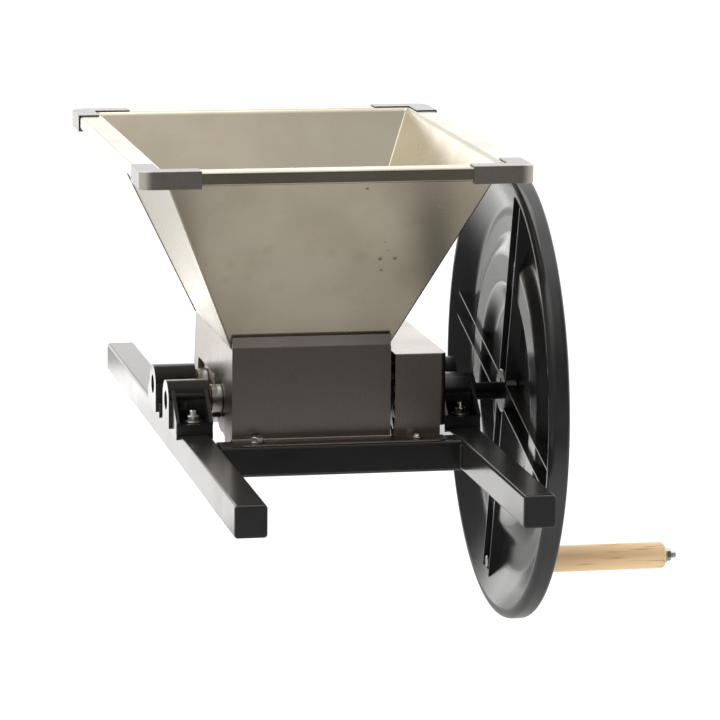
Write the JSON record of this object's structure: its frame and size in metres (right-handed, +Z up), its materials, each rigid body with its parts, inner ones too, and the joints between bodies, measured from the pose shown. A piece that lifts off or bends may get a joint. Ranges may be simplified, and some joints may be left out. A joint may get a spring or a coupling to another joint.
{
  "type": "apple scratter",
  "caption": "Hand-cranked apple scratter: a steel hopper feeds fruit to a pair of geared toothed rollers on a two-rail frame, turned by a dished flywheel with a wooden crank grip.",
  "frame": {"origin": "middle of the left rail's underside, where the machine rests on a tub or stand", "axes": "+X along the roller shafts to the flywheel, +Y to the rear along the rails, +Z up out of the hopper"},
  "size_m": [0.6922, 0.9666, 0.5627],
  "materials": {
    "frame_paint": "black powder coat, semi-gloss, finely textured",
    "plug_plastic": "moulded black plastic",
    "block_nylon": "moulded black nylon",
    "bush_bronze": "sintered bronze",
    "zinc": "bright zinc plating",
    "hopper_steel": "satin stainless sheet",
    "box_steel": "brushed stainless sheet",
    "corner_plastic": "moulded grey-beige plastic",
    "shaft_steel": "blackened turned steel",
    "collar_steel": "turned steel",
    "roller_plastic": "food-grade moulded plastic",
    "gear_nylon": "moulded black nylon",
    "wheel_plastic": "gloss black moulding",
    "grip_wood": "turned beech, clear varnish"
  },
  "bodies": {
    "frame": {"left_rail": "frame_paint", "right_rail": "frame_paint", "front_cross_bar": "frame_paint", "rear_cross_bar": "frame_paint", "rail_plug_front_left": "plug_plastic", "rail_plug_front_right": "plug_plastic", "rail_plug_rear_left": "plug_plastic", "rail_plug_rear_right": "plug_plastic", "bearing_block_front_left": "block_nylon", "bearing_block_front_right": "block_nylon", "bearing_block_rear_left": "block_nylon", "bearing_block_rear_right": "block_nylon", "bush_front_left": "bush_bronze", "bush_front_right": "bush_bronze", "bush_rear_left": "bush_bronze", "bush_rear_right": "bush_bronze", "block_stud_front_left": "zinc", "block_stud_front_right": "zinc", "block_stud_rear_left": "zinc", "block_stud_rear_right": "zinc", "block_nut_front_left": "zinc", "block_nut_front_right": "zinc", "block_nut_rear_left": "zinc", "block_nut_rear_right": "zinc", "box_bolt_front": "zinc", "box_bolt_rear_left": "zinc", "box_bolt_rear_right": "zinc", "cover_bolt": "zinc", "hopper": "hopper_steel", "box_front_panel": "box_steel", "box_rear_panel": "box_steel", "box_left_wall": "box_steel", "box_right_wall": "box_steel", "feed_guide_plate": "box_steel", "gear_cover": "box_steel", "rim_corner_front_left": "corner_plastic", "rim_corner_front_right": "corner_plastic", "rim_corner_rear_left": "corner_plastic", "rim_corner_rear_right": "corner_plastic"},
    "drive": {"drive_shaft": "shaft_steel", "drive_roller": "roller_plastic", "drive_gear": "gear_nylon", "drive_end_disc": "box_steel", "drive_collar": "collar_steel", "drive_collar_screw": "zinc", "flywheel": "wheel_plastic", "flywheel_key": "zinc", "flywheel_washer": "zinc", "flywheel_bolt": "zinc", "grip_spindle": "zinc", "grip_washer": "zinc", "grip_nut": "zinc"},
    "driven": {"driven_shaft": "shaft_steel", "driven_roller": "roller_plastic", "driven_gear": "gear_nylon", "driven_end_disc": "box_steel", "driven_collar": "collar_steel", "driven_collar_screw": "zinc"},
    "grip": {"grip": "grip_wood"}
  },
  "joints": [
    {"name": "drive_spin", "type": "hinge", "parent": "frame", "child": "drive", "pos_m": [0, -0.05, 0.0645], "axis": [1, 0, 0], "continuous": true},
    {"name": "driven_spin", "type": "hinge", "parent": "frame", "child": "driven", "pos_m": [0, 0.05, 0.0645], "axis": [1, 0, 0], "continuous": true},
    {"name": "grip_spin", "type": "hinge", "parent": "drive", "child": "grip", "pos_m": [0.487, 0.0104, -0.15328], "axis": [1, 0, 0], "continuous": true}
  ],
  "couplings": [
    {"joint": "driven_spin", "follows": "drive_spin", "ratio": -1}
  ]
}
